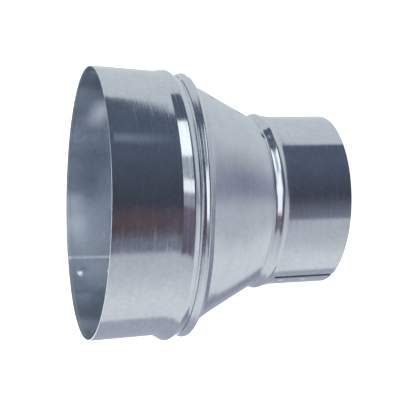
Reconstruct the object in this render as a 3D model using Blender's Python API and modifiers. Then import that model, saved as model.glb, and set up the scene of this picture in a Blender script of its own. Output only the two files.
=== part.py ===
"""Round duct reducer: three rolled sheets of galvanised steel, seamed and beaded together.

The axis is Z. The reducer stands on its small collar, whose rim is at Z = 0, and the large mouth faces up.
Lengths are in metres, and the sizes below are written in millimetres times MM.
"""

import math

import bmesh
import bpy
from mathutils import Matrix, Vector

MM = 0.001

# Sheet and clearances
SHEET = 0.5 * MM
FIT_GAP = 0.3 * MM
LAP_GAP = 0.15 * MM

# Small collar: outer radius, and length from its rim to the cone's lower edge
SMALL_RADIUS = 50.0 * MM
SMALL_LENGTH = 37.6 * MM

# Cone: lower skirt, locking bead, taper, shoulder, ridge and upper skirt, from the bottom up
LOWER_SKIRT = 1.8 * MM
LOCK_BEAD_WIDTH = 7.7 * MM
LOCK_BEAD_HEIGHT = 1.6 * MM
THROAT_DROP = 0.7 * MM
TAPER_HEIGHT = 36.2 * MM
SHOULDER_HEIGHT = 4.8 * MM
SHOULDER_DROP = 7.4 * MM
SHOULDER_FILLET = 2.0 * MM
RIDGE_FILLET = 2.2 * MM
UPPER_SKIRT = 3.9 * MM
SKIRT_FLARE = 1.6 * MM

# Large collar: outer radius above its bead, and the bands from the cone's upper edge to the mouth
LARGE_RADIUS = 76.0 * MM
SEAT_BAND = 0.8 * MM
SEAT_DROP = 1.6 * MM
STOP_BEAD_WIDTH = 11.8 * MM
STOP_BEAD_HEIGHT = 2.8 * MM
STOP_BEAD_CREST = 1.6 * MM
PLAIN_LENGTH = 35.2 * MM
MOUTH_FLARE = 1.6 * MM
MOUTH_LIP = 2.0 * MM

# How far each collar's hidden end runs along the inside of the cone, past the bend that it follows
UPPER_TUCK = 2.5 * MM
LOWER_TUCK = 3.0 * MM

# Lap seams: width of the double layer, length of the joggle beside it, and the angle of each outer free edge
LAP_WIDTH = 15.0 * MM
JOGGLE_LENGTH = 12.0 * MM
LARGE_SEAM_ANGLE = 125.6
CONE_SEAM_ANGLE = -20.5
SMALL_SEAM_ANGLE = -150.5

# Clinch points: the raised button inside, the pressed recess outside, and their places along each seam
CLINCH_INSET = 4.0 * MM
CLINCH_BUTTON_RADIUS = 3.2 * MM
CLINCH_RECESS_RADIUS = 1.3 * MM
CLINCH_RISE = 0.6 * MM
LARGE_CLINCH_FROM_MOUTH = (9.0 * MM, 28.0 * MM)
CONE_CLINCH_FROM_EDGE = (17.0 * MM, 34.0 * MM)
SMALL_CLINCH_FROM_RIM = (16.5 * MM, 31.0 * MM)

# Fineness of the turned surfaces
STEP_ANGLE = 4.6
LOCK_BEAD_SPANS = 6
FILLET_SPANS = 3
CLINCH_SIDES = 16

# Heights and radii that follow from the sizes above
LAYER = SHEET + FIT_GAP
LOWER_EDGE = SMALL_LENGTH
LOCK_BEAD_FOOT = LOWER_EDGE + LOWER_SKIRT
THROAT = LOCK_BEAD_FOOT + LOCK_BEAD_WIDTH
TAPER_TOP = THROAT + TAPER_HEIGHT
SHOULDER_TOP = TAPER_TOP + SHOULDER_HEIGHT
UPPER_EDGE = SHOULDER_TOP + UPPER_SKIRT
STOP_BEAD_FOOT = UPPER_EDGE + SEAT_BAND
STOP_BEAD_TOP = STOP_BEAD_FOOT + STOP_BEAD_WIDTH
MOUTH = STOP_BEAD_TOP + PLAIN_LENGTH + MOUTH_LIP
LOWER_SKIRT_RADIUS = SMALL_RADIUS + LAYER
THROAT_RADIUS = LOWER_SKIRT_RADIUS - THROAT_DROP
SEAT_RADIUS = LARGE_RADIUS - SEAT_DROP
UPPER_EDGE_RADIUS = SEAT_RADIUS + LAYER
RIDGE_RADIUS = UPPER_EDGE_RADIUS + SKIRT_FLARE
TAPER_TOP_RADIUS = RIDGE_RADIUS - SHOULDER_DROP
MOUTH_RADIUS = LARGE_RADIUS + MOUTH_FLARE


def clear_scene():
    for obj in list(bpy.data.objects):
        bpy.data.objects.remove(obj, do_unlink=True)


def new_collection(name):
    collection = bpy.data.collections.new(name)
    bpy.context.scene.collection.children.link(collection)
    return collection


def galvanised_steel(name, colour, roughness):
    material = bpy.data.materials.new(name)
    material.use_nodes = True
    shader = material.node_tree.nodes["Principled BSDF"]
    shader.inputs["Base Color"].default_value = (*colour, 1.0)
    shader.inputs["Metallic"].default_value = 1.0
    shader.inputs["Roughness"].default_value = roughness
    return material


def bead(upper, lower, height, spans):
    """Points of a rolled bead strictly between its two feet, each (radius, height along the axis)."""
    points = []
    for i in range(1, spans):
        along = i / spans
        foot = upper.lerp(lower, along)
        points.append(foot + Vector((height * math.sin(math.pi * along) ** 2, 0.0)))
    return points


def fillet(before, corner, after, radius, spans):
    """Points of the arc that rounds one corner of a profile."""
    back = (before - corner).normalized()
    ahead = (after - corner).normalized()
    half = back.angle(ahead) / 2
    reach = min(radius / math.tan(half), 0.45 * (before - corner).length, 0.45 * (after - corner).length)
    radius = reach * math.tan(half)
    centre = corner + (back + ahead).normalized() * (radius / math.sin(half))
    start = corner + back * reach - centre
    turn = start.angle_signed(corner + ahead * reach - centre)
    return [centre + Matrix.Rotation(-turn * i / spans, 2) @ start for i in range(spans + 1)]


def outward(start, end):
    """The unit normal that points away from the axis, for a profile drawn from top to bottom."""
    along = (end - start).normalized()
    return Vector((-along.y, along.x))


def offset_inward(profile, distance):
    """The same profile moved towards the axis by one distance, with its corners mitred."""
    moved = []
    for i, point in enumerate(profile):
        normals = [outward(a, b) for a, b in zip(profile[max(i - 1, 0) : i + 1], profile[max(i, 1) : i + 2])]
        if i == 0:
            normals = [outward(profile[0], profile[1])]
        mitre = sum(normals, Vector((0.0, 0.0))).normalized()
        moved.append(point - mitre * (distance / mitre.dot(normals[0])))
    return moved


def cone_profile():
    """The cone's outer face from its upper edge to its lower edge, and the two stretches that collars follow."""
    edge = Vector((UPPER_EDGE_RADIUS, UPPER_EDGE))
    ridge = Vector((RIDGE_RADIUS, SHOULDER_TOP))
    hip = Vector((TAPER_TOP_RADIUS, TAPER_TOP))
    throat = Vector((THROAT_RADIUS, THROAT))
    bead_foot = Vector((LOWER_SKIRT_RADIUS, LOCK_BEAD_FOOT))
    end = Vector((LOWER_SKIRT_RADIUS, LOWER_EDGE))
    shoulder = [edge, *fillet(edge, ridge, hip, RIDGE_FILLET, FILLET_SPANS)]
    shoulder.append(shoulder[-1] + (hip - ridge).normalized() * min(UPPER_TUCK, 0.3 * (hip - ridge).length))
    taper = fillet(ridge, hip, throat, SHOULDER_FILLET, FILLET_SPANS)
    flare = throat + (hip - throat).normalized() * LOWER_TUCK
    lock = [flare, throat, *bead(throat, bead_foot, LOCK_BEAD_HEIGHT, LOCK_BEAD_SPANS), bead_foot, end]
    return shoulder, taper, lock


def large_collar_profile(shoulder):
    """The collar's outer face from the mouth down, ending in a tuck under the cone's shoulder."""
    bead_top = Vector((LARGE_RADIUS, STOP_BEAD_TOP))
    bead_foot = Vector((SEAT_RADIUS, STOP_BEAD_FOOT))
    crest = bead_top.lerp(bead_foot, 0.5) + Vector((STOP_BEAD_HEIGHT, 0.0))
    return [
        Vector((MOUTH_RADIUS, MOUTH)),
        Vector((MOUTH_RADIUS, MOUTH - MOUTH_LIP)),
        bead_top,
        *fillet(bead_top, crest, bead_foot, STOP_BEAD_CREST, FILLET_SPANS),
        bead_foot,
        *offset_inward(shoulder, LAYER),
    ]


def small_collar_profile(lock):
    """The collar's outer face from its tuck inside the cone, through the locking bead, to the rim."""
    return [*offset_inward(lock, LAYER), Vector((SMALL_RADIUS, 0.0))]


def rolled_sheet(name, profile, outer_edge, joggle, collection, material):
    """One sheet rolled a full turn plus its lap, with the last stretch joggled onto the first.

    joggle is 1 where the second layer lies outside the first, and -1 where it lies inside. Either way the
    outer layer's free edge is at outer_edge, and the lap reaches from there clockwise, seen from above.
    """
    radius = sum(point.x for point in profile) / len(profile)
    lap_angle = math.degrees(LAP_WIDTH / radius)
    ramp_angle = math.degrees(JOGGLE_LENGTH / radius)
    total = 360.0 + lap_angle
    steps = round(total / STEP_ANGLE)
    first_edge = outer_edge - lap_angle if joggle > 0 else outer_edge

    shape = bmesh.new()
    turn = Matrix.Rotation(math.radians(first_edge), 4, "Z")
    chain = [shape.verts.new(turn @ Vector((point.x, 0.0, point.y))) for point in profile]
    edges = [shape.edges.new(pair) for pair in zip(chain, chain[1:])]
    bmesh.ops.spin(
        shape,
        geom=[*chain, *edges],
        cent=(0.0, 0.0, 0.0),
        axis=(0.0, 0.0, 1.0),
        angle=joggle * math.radians(total),
        steps=steps,
        use_duplicate=False,
    )
    shape.normal_update()
    shape.verts.index_update()
    shape.faces.ensure_lookup_table()
    first_face = shape.faces[0]
    middle = first_face.calc_center_median()
    if first_face.normal.dot(Vector((middle.x, middle.y, 0.0))) < 0.0:
        bmesh.ops.reverse_faces(shape, faces=shape.faces[:])
    mesh = bpy.data.meshes.new(name)
    shape.to_mesh(mesh)
    shape.free()

    sheet = bpy.data.objects.new(name, mesh)
    collection.objects.link(sheet)
    mesh.materials.append(material)

    second_layer = sheet.vertex_groups.new(name="second_layer")
    for vertex in mesh.vertices:
        swept = total * (vertex.index // len(profile)) / steps
        along = (swept - (360.0 - STEP_ANGLE - ramp_angle)) / ramp_angle
        along = min(max(along, 0.0), 1.0)
        if along > 0.0:
            second_layer.add([vertex.index], along * along * (3.0 - 2.0 * along), "REPLACE")

    lift = sheet.modifiers.new("joggle", "DISPLACE")
    lift.direction = "NORMAL"
    lift.vertex_group = second_layer.name
    lift.mid_level = 0.0
    lift.strength = joggle * (SHEET + LAP_GAP)

    wall = sheet.modifiers.new("sheet", "SOLIDIFY")
    wall.thickness = SHEET
    wall.offset = -1.0
    wall.use_even_offset = True
    return sheet, outer_edge - math.degrees(CLINCH_INSET / radius)


def face_at(profile, height):
    """The point of a profile at one height, and its outward normal."""
    for upper, lower in zip(profile, profile[1:]):
        if lower.y <= height <= upper.y:
            share = (upper.y - height) / (upper.y - lower.y)
            return upper.lerp(lower, share), outward(upper, lower)
    raise ValueError("no such height on this profile")


def studs(name, profile, angle, heights, radius, top, bottom, collection):
    """Short cylinders square to the sheet, each from one depth below its outer face to another."""
    shape = bmesh.new()
    for height in heights:
        point, normal = face_at(profile, height)
        axis = Vector((normal.x, 0.0, normal.y))
        centre = Vector((point.x, 0.0, point.y)) - axis * (top + bottom) / 2
        place = Matrix.Translation(centre) @ axis.to_track_quat("Z", "Y").to_matrix().to_4x4()
        bmesh.ops.create_cone(
            shape,
            cap_ends=True,
            segments=CLINCH_SIDES,
            radius1=radius,
            radius2=radius,
            depth=bottom - top,
            matrix=Matrix.Rotation(math.radians(angle), 4, "Z") @ place,
        )
    mesh = bpy.data.meshes.new(name)
    shape.to_mesh(mesh)
    shape.free()
    helper = bpy.data.objects.new(name, mesh)
    helper.hide_render = True
    helper.display_type = "WIRE"
    collection.objects.link(helper)
    return helper


def clinch_seam(sheet, profile, angle, heights, joggle, collection):
    """Presses round clinch points through both layers of a lap: a button inside, a recess outside."""
    outer_face = -(SHEET + LAP_GAP) if joggle > 0 else 0.0
    inner_face = outer_face + 2 * SHEET + LAP_GAP
    buttons = studs(
        sheet.name + "_buttons",
        profile,
        angle,
        heights,
        CLINCH_BUTTON_RADIUS,
        outer_face + SHEET / 2,
        inner_face + CLINCH_RISE,
        collection,
    )
    recesses = studs(
        sheet.name + "_recesses",
        profile,
        angle,
        heights,
        CLINCH_RECESS_RADIUS,
        outer_face - SHEET,
        inner_face,
        collection,
    )
    join = sheet.modifiers.new("clinch_buttons", "BOOLEAN")
    join.operation = "UNION"
    join.object = buttons
    cut = sheet.modifiers.new("clinch_recesses", "BOOLEAN")
    cut.operation = "DIFFERENCE"
    cut.object = recesses


def build_sheet(name, profile, outer_edge, joggle, clinch_heights, parts, cutters, material):
    sheet, clinch_angle = rolled_sheet(name, profile, outer_edge, joggle, parts, material)
    clinch_seam(sheet, profile, clinch_angle, clinch_heights, joggle, cutters)
    sheet.data.shade_smooth()
    sheet.data.set_sharp_from_angle(angle=math.radians(35.0))


def build():
    clear_scene()
    parts = new_collection("round_duct_reducer")
    cutters = new_collection("cutters")
    bright = galvanised_steel("bright_galvanised", (0.52, 0.55, 0.60), 0.28)
    satin = galvanised_steel("satin_galvanised", (0.60, 0.63, 0.67), 0.38)

    shoulder, taper, lock = cone_profile()
    large_profile = large_collar_profile(shoulder)
    small_profile = small_collar_profile(lock)
    full_cone = [*shoulder, *taper, *lock]

    large_heights = [MOUTH - depth for depth in LARGE_CLINCH_FROM_MOUTH]
    cone_heights = [UPPER_EDGE - depth for depth in CONE_CLINCH_FROM_EDGE]
    build_sheet("large_collar", large_profile, LARGE_SEAM_ANGLE, -1, large_heights, parts, cutters, bright)
    build_sheet("cone", full_cone, CONE_SEAM_ANGLE, 1, cone_heights, parts, cutters, satin)
    build_sheet(
        "small_collar",
        small_profile,
        SMALL_SEAM_ANGLE,
        -1,
        SMALL_CLINCH_FROM_RIM,
        parts,
        cutters,
        bright,
    )


build()
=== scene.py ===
import math

import bmesh
import bpy
from mathutils import Matrix, Vector, noise


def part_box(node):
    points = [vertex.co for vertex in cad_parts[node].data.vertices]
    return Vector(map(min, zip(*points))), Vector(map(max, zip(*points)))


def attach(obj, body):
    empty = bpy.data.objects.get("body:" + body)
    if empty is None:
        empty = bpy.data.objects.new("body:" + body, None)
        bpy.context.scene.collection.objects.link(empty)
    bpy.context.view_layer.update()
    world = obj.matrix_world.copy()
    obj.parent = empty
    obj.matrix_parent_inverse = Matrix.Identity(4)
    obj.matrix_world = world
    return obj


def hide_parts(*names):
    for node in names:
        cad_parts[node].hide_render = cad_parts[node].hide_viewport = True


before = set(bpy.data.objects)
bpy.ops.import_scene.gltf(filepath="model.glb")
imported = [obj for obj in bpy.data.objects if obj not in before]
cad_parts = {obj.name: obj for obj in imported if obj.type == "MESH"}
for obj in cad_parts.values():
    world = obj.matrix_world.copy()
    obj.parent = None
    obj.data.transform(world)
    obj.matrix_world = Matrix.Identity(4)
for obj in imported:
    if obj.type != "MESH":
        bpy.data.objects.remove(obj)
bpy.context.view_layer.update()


# Large collar
# The wide sleeve that a 150 mm duct plugs into. One strip of 0.5 mm galvanised steel is rolled into a ring,
# lapped and clinched to itself, and gets a stop bead, and its lower end is rolled into the cone.
MM = 0.001
sheet = 0.5 * MM
fit_gap = 0.05 * MM
lap_gap = 0.03 * MM
layer = sheet + fit_gap
lap_width = 15.0 * MM
clinch_inset = 4.0 * MM

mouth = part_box("large_collar")[1].z
large_radius = 76.0 * MM
mouth_radius = large_radius + 1.6 * MM
mouth_lip = 2.0 * MM
stop_bead_top = mouth - mouth_lip - 35.2 * MM
stop_bead_width = 11.8 * MM
stop_bead_height = 2.8 * MM
seat_radius = large_radius - 1.35 * MM
large_seam_angle = 128.0
large_clinch_heights = (mouth - 9.0 * MM, mouth - 28.0 * MM)

upper_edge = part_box("cone")[1].z
upper_edge_radius = seat_radius + layer
ridge_height = upper_edge - 3.9 * MM
ridge_radius = upper_edge_radius + 1.6 * MM
waist_height = ridge_height + 2.3 * MM
waist_radius = upper_edge_radius + 0.1 * MM
hip_height = ridge_height - 4.8 * MM
hip_radius = ridge_radius - 7.4 * MM
upper_tuck = 2.5 * MM
lip_rounding = 1.5 * MM
bead_top_rounding = 1.5 * MM
crest_rounding = 1.6 * MM
waist_rounding = 0.6 * MM
ridge_rounding = 1.4 * MM
lower_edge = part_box("cone")[0].z


def bend(before, corner, after, radius, spans):
    """Points of the arc that rounds one corner of a profile."""
    back = (before - corner).normalized()
    ahead = (after - corner).normalized()
    half = back.angle(ahead) / 2
    reach = min(radius / math.tan(half), 0.45 * (before - corner).length, 0.45 * (after - corner).length)
    radius = reach * math.tan(half)
    centre = corner + (back + ahead).normalized() * (radius / math.sin(half))
    start = corner + back * reach - centre
    turn = start.angle_signed(corner + ahead * reach - centre)
    return [centre + Matrix.Rotation(-turn * i / spans, 2) @ start for i in range(spans + 1)]


def outward(start, end):
    """The unit normal that points away from the axis, for a profile drawn from top to bottom."""
    along = (end - start).normalized()
    return Vector((-along.y, along.x))


def normals_of(profile):
    """The mitred outward normal at each point of a profile."""
    normals = []
    for i in range(len(profile)):
        beside = profile[max(i - 1, 0) : i + 2]
        sides = [outward(a, b) for a, b in zip(beside, beside[1:])]
        normals.append(sum(sides, Vector((0.0, 0.0))).normalized())
    return normals


def offset_inward(profile, distance):
    """The same profile moved towards the axis by one distance."""
    return [point - normal * distance for point, normal in zip(profile, normals_of(profile))]


def ease(share):
    """0 up to a share of 0, 1 from a share of 1 on, and a smooth step between them."""
    share = min(max(share, 0.0), 1.0)
    return share * share * (3.0 - 2.0 * share)


def graded(start, end, step_at):
    """Stations from start to end, each no further from the last than step_at allows there."""
    stations = [start]
    while stations[-1] < end:
        stations.append(stations[-1] + step_at(stations[-1]))
    stretch = (end - start) / (stations[-1] - start)
    return [start + (station - start) * stretch for station in stations]


fine_reach = 4.5 * MM
fine_row = 0.45 * MM
plain_row = 2.5 * MM


def with_rows(profile, fine_heights):
    """A profile with rows added along its straights, closest at the heights of the clinch points."""
    rows = [profile[0]]
    for upper, lower in zip(profile, profile[1:]):
        length = (lower - upper).length

        def step_at(along):
            height = upper.y + (lower.y - upper.y) * along / length
            near = any(abs(height - fine) < fine_reach for fine in fine_heights)
            return fine_row if near else plain_row

        rows += [upper.lerp(lower, along / length) for along in graded(0.0, length, step_at)[1:]]
    return rows


def window(value, low, full_low, full_high, high):
    """1 between the inner two of four heights or angles, easing to 0 at the outer two."""
    return ease((value - low) / (full_low - low)) * ease((high - value) / (high - full_high))


# How far this part strays from the true shape, and where, as the four heights that window takes. They are
# measured from the cone's upper edge, and those of lock_sink_zone from its lower edge.
ridge_slip = 1.3 * MM
ridge_side_slip = 3.6 * MM
ridge_slip_zone = (-38.25 * MM, -9.25 * MM, -8.75 * MM, 1.85 * MM)
bead_side_slip = 0.9 * MM
bead_slip_zone = (-8.25 * MM, -2.25 * MM, 0.75 * MM, 6.75 * MM)
bead_drop = 1.4 * MM
bead_drop_zone = (-16.25 * MM, -0.25 * MM, 4.75 * MM, 13.75 * MM)
lock_sink = 1.1 * MM
lock_side_sink = 1.0 * MM
lock_sink_zone = (-33.6 * MM, -0.6 * MM, 10.4 * MM, 40.4 * MM)
mouth_tilt = 0.8 * MM
mouth_sink = 0.35 * MM
mouth_tilt_start = mouth - 35.8 * MM
small_end_lean = 2.1 * MM
lean_start = 80.0 * MM


def askew(place):
    """Where a point of the true shape lies on this part, whose rolled joints are a little off centre."""
    side_on = (place.y / place.xy.length) ** 2
    from_upper = place.z - upper_edge
    tilted = ease((place.z - mouth_tilt_start) / (mouth - mouth_tilt_start))
    slip = (ridge_side_slip * side_on - ridge_slip) * window(from_upper, *ridge_slip_zone)
    slip += bead_side_slip * side_on * window(from_upper, *bead_slip_zone)
    slip -= (mouth_tilt * place.x / mouth_radius + mouth_sink) * tilted
    slip -= (lock_sink + lock_side_sink * side_on) * window(place.z - lower_edge, *lock_sink_zone)
    drop = bead_drop * window(from_upper, *bead_drop_zone)
    lean = small_end_lean * max(0.0, 1.0 - place.z / lean_start)
    return place + Vector((lean - drop, 0.0, slip))


# A clinch point is a pit seen from outside and a low two-stepped button seen from inside. The lap's outer
# edge is dressed thin and its inner edge springs off the sheet. Turns and columns are degrees of the roll.
fine_turn = 4.5
fine_column = 0.35
plain_column = 1.0
pit_depth = 0.8 * MM
pit_radius = 2.2 * MM
pit_slope = 1.2 * MM
button_height = 0.45 * MM
button_radius = 3.5 * MM
button_top_height = 0.35 * MM
button_top_radius = 2.1 * MM
button_slope = 0.8 * MM
dressed_depth = 0.12 * MM
dressed_turn = 1.3
sprung_height = 0.9 * MM
sprung_turn = 1.4
joggle_end = 359.4
rim_rounding = 0.12 * MM


def roll_up(name, profile, outer_edge, joggle_length, clinch_heights, material):
    """One sheet rolled a full turn and its lap, as a closed skin with its two clinch points pressed in."""
    rows = with_rows(profile, clinch_heights)
    normals = normals_of(rows)
    radius = sum(point.x for point in rows) / len(rows)
    lap_angle = math.degrees(lap_width / radius)
    ramp_angle = math.degrees(joggle_length / radius)
    total = 360.0 + lap_angle
    clinch_swept = math.degrees(clinch_inset / radius)

    def column_step(swept):
        near = min(abs(swept - clinch_swept), abs(swept - 360.0 - clinch_swept)) < fine_turn
        return fine_column if near else plain_column

    columns = graded(0.0, total, column_step)
    shell = bmesh.new()
    skins = {0: [], 1: []}
    for swept in columns:
        angle = math.radians(outer_edge - swept)
        second = ease((swept - (joggle_end - ramp_angle)) / ramp_angle)
        sprung = sprung_height * ease((swept - total + sprung_turn) / sprung_turn)
        sunk = (sheet + lap_gap) * second + sprung
        dressed = dressed_depth * (1.0 - ease(swept / dressed_turn))
        lapped = swept < lap_angle + 1.0 or swept > 359.0
        outer_layer = swept < 180.0
        around = (swept if outer_layer else swept - 360.0) - clinch_swept
        for side in (0, 1):
            depth = (side if outer_layer else 2 + side) / 3.0
            column = []
            for point, normal in zip(rows, normals):
                place = Vector((point.x * math.cos(angle), point.x * math.sin(angle), point.y))
                lift = wave(place) - sunk - (sheet if side else dressed)
                if lapped:
                    arc = math.radians(around) * point.x
                    reach = min(math.hypot(arc, point.y - height) for height in clinch_heights)
                    pit = pit_depth * ease((pit_radius - reach) / pit_slope)
                    button = button_height * ease((button_radius - reach) / button_slope)
                    button += button_top_height * ease((button_top_radius - reach) / button_slope)
                    lift -= pit + (button - pit) * depth
                out = Vector((normal.x * math.cos(angle), normal.x * math.sin(angle), normal.y))
                column.append(shell.verts.new(askew(place + out * lift)))
            skins[side].append(column)

    for side in (0, 1):
        for left, right in zip(skins[side], skins[side][1:]):
            for i in range(len(rows) - 1):
                shell.faces.new((left[i], left[i + 1], right[i + 1], right[i]))
    for i in (0, len(rows) - 1):
        for a, b in zip(range(len(columns)), range(1, len(columns))):
            shell.faces.new((skins[0][a][i], skins[0][b][i], skins[1][b][i], skins[1][a][i]))
    for end in (0, len(columns) - 1):
        for i in range(len(rows) - 1):
            shell.faces.new((skins[0][end][i], skins[0][end][i + 1], skins[1][end][i + 1], skins[1][end][i]))
    bmesh.ops.recalc_face_normals(shell, faces=shell.faces[:])
    mesh = bpy.data.meshes.new(name)
    shell.to_mesh(mesh)
    shell.free()
    mesh.shade_smooth()
    mesh.materials.append(material)
    piece = bpy.data.objects.new(name, mesh)
    bpy.context.scene.collection.objects.link(piece)
    rim = piece.modifiers.new("sheared edge", "BEVEL")
    rim.limit_method = "ANGLE"
    rim.angle_limit = math.radians(60.0)
    rim.width = rim_rounding
    rim.segments = 3
    rim.harden_normals = True
    return piece


class Wire:
    """A shader socket that takes part in Python sums, and that adds the node its reader asks for."""

    def __init__(self, tree, socket):
        self.tree = tree
        self.socket = socket

    @classmethod
    def node(cls, tree, kind, settings=None, inputs=None, output=0):
        made = tree.nodes.new("ShaderNode" + kind)
        for name, value in (settings or {}).items():
            setattr(made, name, value)
        for name, value in (inputs or {}).items():
            if isinstance(value, Wire):
                tree.links.new(value.socket, made.inputs[name])
            else:
                made.inputs[name].default_value = value
        return cls(tree, made.outputs[output])

    def output(self, name):
        return Wire(self.tree, self.socket.node.outputs[name])

    def sum(self, operation, first, second):
        return Wire.node(self.tree, "Math", {"operation": operation}, {0: first, 1: second})

    def __add__(self, other):
        return self.sum("ADD", self, other)

    def __radd__(self, other):
        return self.sum("ADD", other, self)

    def __sub__(self, other):
        return self.sum("SUBTRACT", self, other)

    def __rsub__(self, other):
        return self.sum("SUBTRACT", other, self)

    def __mul__(self, other):
        return self.sum("MULTIPLY", self, other)

    def __rmul__(self, other):
        return self.sum("MULTIPLY", other, self)

    def rise(self, low, high):
        """0 up to low, 1 from high on, and a smooth step between them."""
        settings = {"interpolation_type": "SMOOTHSTEP"}
        return Wire.node(self.tree, "MapRange", settings, {"Value": self, "From Min": low, "From Max": high})


# Where the painted light inside the mouth lies: the wall the painted spots sit on, the band of painted
# highlight under the lip and the one along the lap's inner edge. line_relief is how deep the rolling lines
# are.
wall_radius = large_radius - sheet
lip_start = mouth - 2.5 * MM
lip_full = mouth - 1.7 * MM
lap_line_middle = -34.8 * MM
lap_line_core = 0.5 * MM
lap_line_reach = 1.3 * MM
lap_line_foot = 100.0 * MM
lap_line_full = 104.0 * MM
line_relief = 0.012 * MM


def galvanised_steel(name, colour, polish):
    """Zinc-coated sheet: near-mirror outside, duller inside, with rolling lines, zinc crystals and scuffs; its
    inner face has painted shade, and the mouth painted light and shade.
    """
    material = bpy.data.materials.new(name)
    material.use_nodes = True
    tree = material.node_tree
    steel = tree.nodes["Principled BSDF"]
    place = Wire.node(tree, "TexCoord", output="Object")

    def stretched(scale):
        return Wire.node(tree, "VectorMath", {"operation": "MULTIPLY"}, {0: place, 1: scale})

    def painted_light_spot(around, below_mouth, reach):
        """1 on a spot of the mouth's wall where light or shade is painted, easing to 0 at its reach. It is
        placed in degrees, and in mm.
        """
        out = Matrix.Rotation(math.radians(around), 3, "Z") @ Vector((wall_radius, 0.0, 0.0))
        spread = {0: place, 1: out + Vector((0.0, 0.0, mouth - below_mouth * MM))}
        away = Wire.node(tree, "VectorMath", {"operation": "DISTANCE"}, spread, output="Value")
        return 1.0 - away.rise(0.0, reach * MM)

    from_axis = stretched((1.0, 1.0, 0.0))
    normal_to_axis = {0: from_axis, 1: place.output("Normal")}
    facing = Wire.node(tree, "VectorMath", {"operation": "DOT_PRODUCT"}, normal_to_axis, output="Value")
    inside = 1.0 - facing.rise(-0.004, 0.004)
    round_lines = {"Vector": stretched((14.0, 14.0, 1400.0)), "Scale": 1.0, "Detail": 3.0}
    lines = Wire.node(tree, "TexNoise", {}, round_lines)
    round_scuffs = {"Vector": stretched((26.0, 26.0, 1500.0)), "Scale": 1.0, "Detail": 1.0}
    scuffs = Wire.node(tree, "TexNoise", {}, round_scuffs)
    scuffs = scuffs.rise(0.6, 0.74) * (1.0 - 0.6 * inside)
    cloud = Wire.node(tree, "TexNoise", {}, {"Vector": place, "Scale": 90.0, "Detail": 4.0})
    crystals = Wire.node(tree, "TexVoronoi", {}, {"Vector": place, "Scale": 520.0}, output="Color")
    crystal = Wire.node(tree, "SeparateColor", {}, {"Color": crystals}, output="Red")

    # Painted light inside the mouth: a painted reflection in a long streak, painted highlights in a patch and
    # beside the lap, and painted shade between them, where this studio light hardly reaches. The cut lip gets
    # a painted highlight, and the lap's edge a mottled one over the highlight that its sprung edge catches.
    painted_reflection_streak = 0.95 * painted_light_spot(106.0, 11.0, 36.0) + 0.9 * painted_light_spot(89.5, 4.5, 11.0)
    painted_reflection_streak = painted_reflection_streak + 0.9 * painted_light_spot(98.5, 5.5, 11.0) + 0.6 * painted_light_spot(104.5, 7.5, 11.0)
    patch = 1.7 * painted_light_spot(39.0, 19.5, 12.0) + 1.5 * painted_light_spot(46.0, 17.0, 12.0)
    painted_highlight_beside_lap = 0.6 * painted_light_spot(126.5, 20.0, 18.0)
    painted_shade_spot = 0.38 * painted_light_spot(76.0, 22.0, 26.0)
    across = Wire.node(tree, "SeparateXYZ", {}, {0: place})
    toward_back = across.output("Y")
    height = across.output("Z")
    # Painted highlights: a band just under the cut lip, and a mottled line along the lap's inner edge.
    painted_lip_highlight = height.rise(lip_start, lip_full)
    past_lap = across.rise(lap_line_middle + lap_line_core, lap_line_middle + lap_line_reach)
    painted_lap_highlight = across.rise(lap_line_middle - lap_line_reach, lap_line_middle - lap_line_core)
    painted_lap_highlight = painted_lap_highlight * (1.0 - past_lap) * toward_back.rise(0.0, 1.0 * MM)
    painted_lap_highlight = painted_lap_highlight * height.rise(lap_line_foot, lap_line_full)
    # pale sums the painted light and shade inside the mouth, and is added to the colour below.
    pale = painted_reflection_streak + patch + painted_highlight_beside_lap - painted_shade_spot
    pale = inside * (pale + 0.5 * painted_lip_highlight + (0.3 + 1.6 * cloud) * painted_lap_highlight)

    # The inner face is painted darker and a little bluer than the outer, as painted shade.
    shade = 0.82 + 0.18 * cloud + 0.08 * lines + 0.08 * crystal + 0.06 * scuffs - 0.1 * inside + 0.22 * pale
    shades = {0: shade - 0.035 * inside, 1: shade, 2: shade + 0.045 * inside}
    colours = {0: 1.0, 6: (*colour, 1.0), 7: Wire.node(tree, "CombineColor", {}, shades)}
    tint = Wire.node(tree, "Mix", {"data_type": "RGBA", "blend_type": "MULTIPLY"}, colours, output=2)
    tree.links.new(tint.socket, steel.inputs["Base Color"])
    # Where light is painted, the sheet is also a little rougher and much less metallic, so that it lightens
    # further.
    rough = polish * (0.6 + 0.5 * cloud + 0.4 * crystal) + 0.14 * scuffs + 0.08 * inside + 0.02 * pale
    tree.links.new(rough.socket, steel.inputs["Roughness"])
    metal = 1.0 - 0.16 * inside - 0.42 * pale
    tree.links.new(metal.socket, steel.inputs["Metallic"])
    grooves = {"Height": lines * (1.0 - 0.75 * inside), "Strength": 1.0, "Distance": line_relief}
    relief = Wire.node(tree, "Bump", {}, grooves)
    tree.links.new(relief.socket, steel.inputs["Normal"])
    return material


# The waves are slow and all over. The puckers lie between four heights above the cone's lower edge, and
# between four angles from +X toward -Y.
wave_height = 0.04 * MM
pucker_height = 0.45 * MM
pucker_zone = (1.9 * MM, 4.4 * MM, 9.4 * MM, 13.4 * MM)
pucker_turn = (6.0, 20.0, 46.0, 62.0)


def wave(place):
    """Slow waves that rolling leaves in a thin sheet, and puckers along one stretch of the locking bead."""
    turned = math.degrees(math.atan2(-place.y, place.x))
    puckered = window(place.z - lower_edge, *pucker_zone) * window(turned, *pucker_turn)
    return wave_height * noise.noise(place * 28.0) + pucker_height * puckered * noise.noise(place * 150.0)


ridge = Vector((ridge_radius, ridge_height))
hip = Vector((hip_radius, hip_height))
edge = Vector((upper_edge_radius, upper_edge))
waist = Vector((waist_radius, waist_height))
shoulder = [edge, *bend(edge, waist, ridge, waist_rounding, 3), *bend(waist, ridge, hip, ridge_rounding, 8)]
shoulder.append(shoulder[-1] + (hip - ridge).normalized() * min(upper_tuck, 0.3 * (hip - ridge).length))

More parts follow.
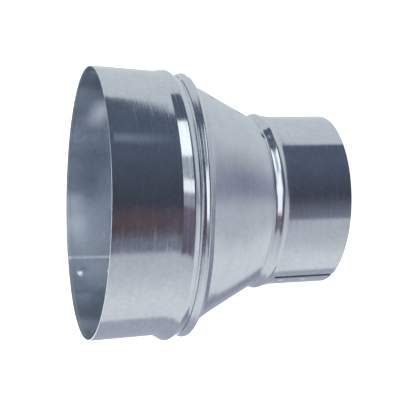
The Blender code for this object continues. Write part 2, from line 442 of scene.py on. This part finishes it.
bead_top = Vector((large_radius, stop_bead_top))
bead_foot = Vector((seat_radius, stop_bead_top - stop_bead_width))
crest = bead_top.lerp(bead_foot, 0.5) + Vector((stop_bead_height, 0.0))
lip_foot = Vector((mouth_radius, mouth - mouth_lip))
large_profile = [
    Vector((mouth_radius, mouth)),
    *bend(Vector((mouth_radius, mouth)), lip_foot, bead_top, lip_rounding, 4),
    *bend(lip_foot, bead_top, crest, bead_top_rounding, 3),
    *bend(bead_top, crest, bead_foot, crest_rounding, 8),
    bead_foot,
    *offset_inward(shoulder, layer),
]
bright_zinc = (0.66, 0.69, 0.73)
long_joggle = 12.0 * MM
collar_steel = galvanised_steel("bright galvanised", bright_zinc, polish=0.1)
large_collar = roll_up(
    "large_collar_sheet", large_profile, large_seam_angle, long_joggle, large_clinch_heights, collar_steel
)
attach(large_collar, "root")
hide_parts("large_collar")


# Cone
# The tapered middle, one fan-shaped blank of galvanised steel rolled into a cone, lapped and clinched. Its
# wide end turns out over the large collar to a ridge and a skirt, and its narrow end is rolled into a
# locking bead that grips the small collar.
small_radius = 50.0 * MM
lower_skirt = 1.8 * MM
lock_bead_width = 7.7 * MM
lock_bead_height = 1.6 * MM
lock_foot = lower_edge + lower_skirt
throat_height = lock_foot + lock_bead_width
lower_skirt_radius = small_radius + layer
throat_radius = lower_skirt_radius - 0.7 * MM
lower_tuck = 3.0 * MM
hip_rounding = 2.0 * MM
cone_seam_angle = -20.5
cone_clinch_heights = (upper_edge - 17.0 * MM, upper_edge - 34.0 * MM)
satin_zinc = (0.665, 0.695, 0.735)


def bead(upper, lower, height, spans):
    """Points of a rolled bead strictly between its two feet, each (radius, height along the axis)."""
    points = []
    for i in range(1, spans):
        along = i / spans
        points.append(upper.lerp(lower, along) + Vector((height * math.sin(math.pi * along) ** 2, 0.0)))
    return points


throat = Vector((throat_radius, throat_height))
lock_bead_foot = Vector((lower_skirt_radius, lock_foot))
cone_end = Vector((lower_skirt_radius, lower_edge))
taper = bend(ridge, hip, throat, hip_rounding, 8)
flare = throat + (hip - throat).normalized() * lower_tuck
lock = [flare, throat, *bead(throat, lock_bead_foot, lock_bead_height, 16), lock_bead_foot, cone_end]
cone_profile = [*shoulder, *taper, *lock]
cone_steel = galvanised_steel("satin galvanised", satin_zinc, polish=0.16)
cone = roll_up("cone_sheet", cone_profile, cone_seam_angle, long_joggle, cone_clinch_heights, cone_steel)
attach(cone, "root")
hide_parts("cone")


# Small collar
# The narrow sleeve that a 100 mm duct or hose slides over, rolled from the same bright sheet as the large
# collar and lapped on the -X side. Its upper end is formed inside the cone's locking bead.
small_seam_angle = -155.0
small_clinch_heights = (16.5 * MM, 31.0 * MM)
short_joggle = 4.0 * MM
small_profile = [*offset_inward(lock, layer), Vector((small_radius, 0.0))]
small_collar = roll_up(
    "small_collar_sheet", small_profile, small_seam_angle, short_joggle, small_clinch_heights, collar_steel
)
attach(small_collar, "root")
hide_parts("small_collar")


# Floor
# A plain round white floor at the height the part stands on. It glows a little, so that shadows are lost
# in it, and the steel doesn't mirror it.
floor_radius = 9.0
floor_mesh = bpy.data.meshes.new("floor")
disc = bmesh.new()
bmesh.ops.create_circle(disc, cap_ends=True, segments=64, radius=floor_radius)
disc.to_mesh(floor_mesh)
disc.free()
floor = bpy.data.objects.new("floor", floor_mesh)
bpy.context.scene.collection.objects.link(floor)
floor.visible_glossy = False
white = bpy.data.materials.new("white floor")
white.use_nodes = True
paint = white.node_tree.nodes["Principled BSDF"]
paint.inputs["Base Color"].default_value = (0.9, 0.9, 0.9, 1.0)
paint.inputs["Roughness"].default_value = 0.9
paint.inputs["Emission Color"].default_value = (1.0, 1.0, 1.0, 1.0)
paint.inputs["Emission Strength"].default_value = 0.8
floor_mesh.materials.append(white)


# Studio light
# Soft white panels and dark gaps round the part, each placed by the direction that the steel mirrors.
# Turn goes round the axis: 0 at +X, which is up in the picture, and 90 on the camera's side. Lift is 0 level
# and 90 straight above the mouth.
world = bpy.data.worlds.new("studio")
bpy.context.scene.world = world
world.use_nodes = True
sky = world.node_tree
seam_turn = math.radians(60.0)
aim = Wire.node(sky, "TexCoord", output="Generated")
x = Wire.node(sky, "SeparateXYZ", {}, {0: aim})
y = x.output("Y")
z = x.output("Z")
ahead = x * math.cos(seam_turn) - y * math.sin(seam_turn)
beside = -1.0 * math.sin(seam_turn) * x - math.cos(seam_turn) * y
turn = Wire.node(sky, "Math", {"operation": "ARCTAN2"}, {0: beside, 1: ahead}) * math.degrees(1.0)
turn = turn + math.degrees(seam_turn)
lift = Wire.node(sky, "Math", {"operation": "ARCSINE"}, {0: z}) * math.degrees(1.0)


def between(value, low, high, soft):
    """1 between low and high, with edges that are soft degrees wide."""
    return value.rise(low - soft / 2, low + soft / 2) * (1.0 - value.rise(high - soft / 2, high + soft / 2))


def over(under, mask, level):
    """A number laid over another where the mask is 1."""
    return under + mask * (level - under)


def panel(under, mask, colour):
    """One panel of light, or one dark flag, laid over what is under it."""
    inputs = {0: mask, 6: under, 7: (*colour, 1.0) if isinstance(colour, tuple) else colour}
    return Wire.node(sky, "Mix", {"data_type": "RGBA"}, inputs, output=2)


def sine(angle):
    return Wire.node(sky, "Math", {"operation": "SINE"}, {0: angle})


# The beads mirror what is above flank, the ridge's shoulder what is above ramp, the collars' outer walls
# what is below near_level, and the cone what is in low_side and deep. mouth_side is above the mouth.
level_turn = sine(turn * math.radians(1.0))
near_level = lift.rise(-8.0, -2.0)
flank = (lift - 1.1 - 6.6 * level_turn).rise(-0.7, 0.7)
ramp = (lift - 19.9 - 13.8 * level_turn).rise(-0.7, 0.7)
low_side = 1.0 - lift.rise(-36.0, -26.0)
deep = 1.0 - lift.rise(-74.0, -46.0)
mouth_side = lift.rise(54.0, 66.0)

# The pale surroundings: a table under the part, lighter toward the back, and a soft light over the top.
dim_grey = (0.45, 0.475, 0.56, 1.0)
deep_grey = (0.3, 0.32, 0.4)
table_grey = (0.58, 0.61, 0.66)
table_white = (0.82, 0.85, 0.87)
top_light = (0.68, 0.72, 0.76)
table_start = 112.0 - 60.0 * low_side
table_middle = 134.0
table_end = 203.0 + 21.0 * low_side
table = panel(dim_grey, low_side, deep_grey)
table = panel(table, between(turn, table_start, table_end, 6.0), table_grey)
far_table = between(turn, table_middle, table_end, 6.0) * turn.rise(table_middle, 186.0)
table = panel(table, far_table, table_white)
light = panel(table, between(turn, -100.0, 60.0, 10.0), top_light)

# The dark room on the camera's side, from head_edge to foot_edge, with a reddish patch low in the picture,
# a faint lamp, and a paler depth that the cone mirrors.
room_dark = (0.106, 0.134, 0.191, 1.0)
room_black = (0.064, 0.07, 0.093)
room_grey = (0.22, 0.235, 0.31)
room_red = (0.128, 0.088, 0.1)
lamp_grey = (0.25, 0.3, 0.37)
room_deep = (0.36, 0.375, 0.48)
head_edge = over(10.5 - 17.0 * lift.rise(-20.5, -14.5), near_level, -13.0)
head = over((turn - head_edge).rise(-2.0, 2.0), low_side, turn.rise(-12.0, 60.0))
foot_edge = over(116.5 + 15.0 * lift.rise(-21.6, -20.2), near_level, 134.0)
foot = over((turn - foot_edge).rise(-3.0, 3.0), low_side, turn.rise(64.0, 112.0))
room = panel(room_dark, turn.rise(30.0, 100.0), room_black)
room = panel(room, (turn - 12.0 * lift.rise(-21.6, -20.0)).rise(80.0, 118.0), room_grey)
room = panel(room, between(turn, 96.0, 118.0, 14.0) * lift.rise(-21.6, -19.0), room_red)
room = panel(room, between(turn, 32.0, 39.0, 6.0) * between(lift, -18.0, -14.5, 3.0), lamp_grey)
room = panel(room, deep, room_deep)
light = panel(light, head * (1.0 - foot), room)

# Two windows with a slatted gap between them and a dim one after them, which the stop bead's flank mirrors.
first_window = (1.35, 1.41, 1.42)
slat_dark = (0.28, 0.31, 0.4)
slat_light = (0.62, 0.7, 0.72)
second_window = (1.25, 1.3, 1.32)
dim_window = (0.38, 0.37, 0.45)
window_wall = (0.17, 0.15, 0.2)
slatted = between(turn, 51.0, 68.0, 4.0) * flank
light = panel(light, between(turn, 18.5, 51.0, 3.0) * flank, first_window)
light = panel(light, slatted, slat_dark)
light = panel(light, slatted * (0.5 + 0.5 * sine(turn * 2.4)), slat_light)
light = panel(light, between(turn, 69.5, 81.0, 3.0) * flank, second_window)
light = panel(light, between(turn, 81.0, 93.0, 4.0) * flank, dim_window)
light = panel(light, between(turn, 93.0, 134.0, 3.0) * flank, window_wall)

# A dark flag high over the top, a bright panel at the back that the mouth's rim mirrors, a flag and a panel
# above the mouth, and a long white panel that the ridge's shoulder mirrors as one stripe.
top_flag = (0.3, 0.33, 0.42)
back_panel = (2.0, 2.05, 2.05)
mouth_flag = (0.2, 0.26, 0.38)
mouth_panel = (0.58, 0.61, 0.66)
stripe_panel = (1.3, 1.36, 1.38)
light = panel(light, between(turn, -26.0, 47.0, 4.0) * lift.rise(36.0, 44.0), top_flag)
light = panel(light, between(turn, -118.0, -87.0, 3.0) * between(lift, 4.0, 32.0, 8.0), back_panel)
light = panel(light, mouth_side * turn.rise(-20.0, -10.0), mouth_flag)
light = panel(light, mouth_side * turn.rise(109.0, 125.0), mouth_panel)
light = panel(light, between(turn, 47.0, 109.0, 4.0) * ramp, stripe_panel)
studio = Wire.node(sky, "Background", {}, {"Color": light, "Strength": 1.0})
backdrop = Wire.node(sky, "Background", {}, {"Color": (1.0, 1.0, 1.0, 1.0), "Strength": 1.0})
seen = Wire.node(sky, "LightPath", output="Is Camera Ray")
view = Wire.node(sky, "MixShader", {}, {0: seen, 1: studio, 2: backdrop})
sky.links.new(view.socket, sky.nodes["World Output"].inputs["Surface"])
bpy.context.scene.view_settings.view_transform = "Standard"


# Camera
# A long lens about 54 cm from the mouth, on the part's -Y side and looking down a little. The camera lies on
# its side, so that the standing part lies in the picture as in the photograph. The frame is taken as square.
looking_down = math.radians(16.28)
roll = math.radians(0.2)
mouth_right = -65.2 * MM
mouth_down = 1.5 * MM
mouth_ahead = 540.1 * MM
focal_length = 85.5
right = Vector((0.0, -math.sin(looking_down), -math.cos(looking_down)))
down = Vector((-1.0, 0.0, 0.0))
forward = (-down).cross(right)
mouth_seen = right * mouth_right + down * mouth_down + forward * mouth_ahead
place = Vector((0.0, 0.0, mouth)) - mouth_seen
image_right = right * math.cos(roll) + down * math.sin(roll)
image_up = image_right.cross(forward)
lens = bpy.data.cameras.new("camera")
lens.lens = focal_length
lens.clip_start = 0.01
camera = bpy.data.objects.new("camera", lens)
bpy.context.scene.collection.objects.link(camera)
axes = Matrix((image_right, image_up, -forward)).transposed()
camera.matrix_world = Matrix.Translation(place) @ axes.to_4x4()
bpy.context.scene.camera = camera
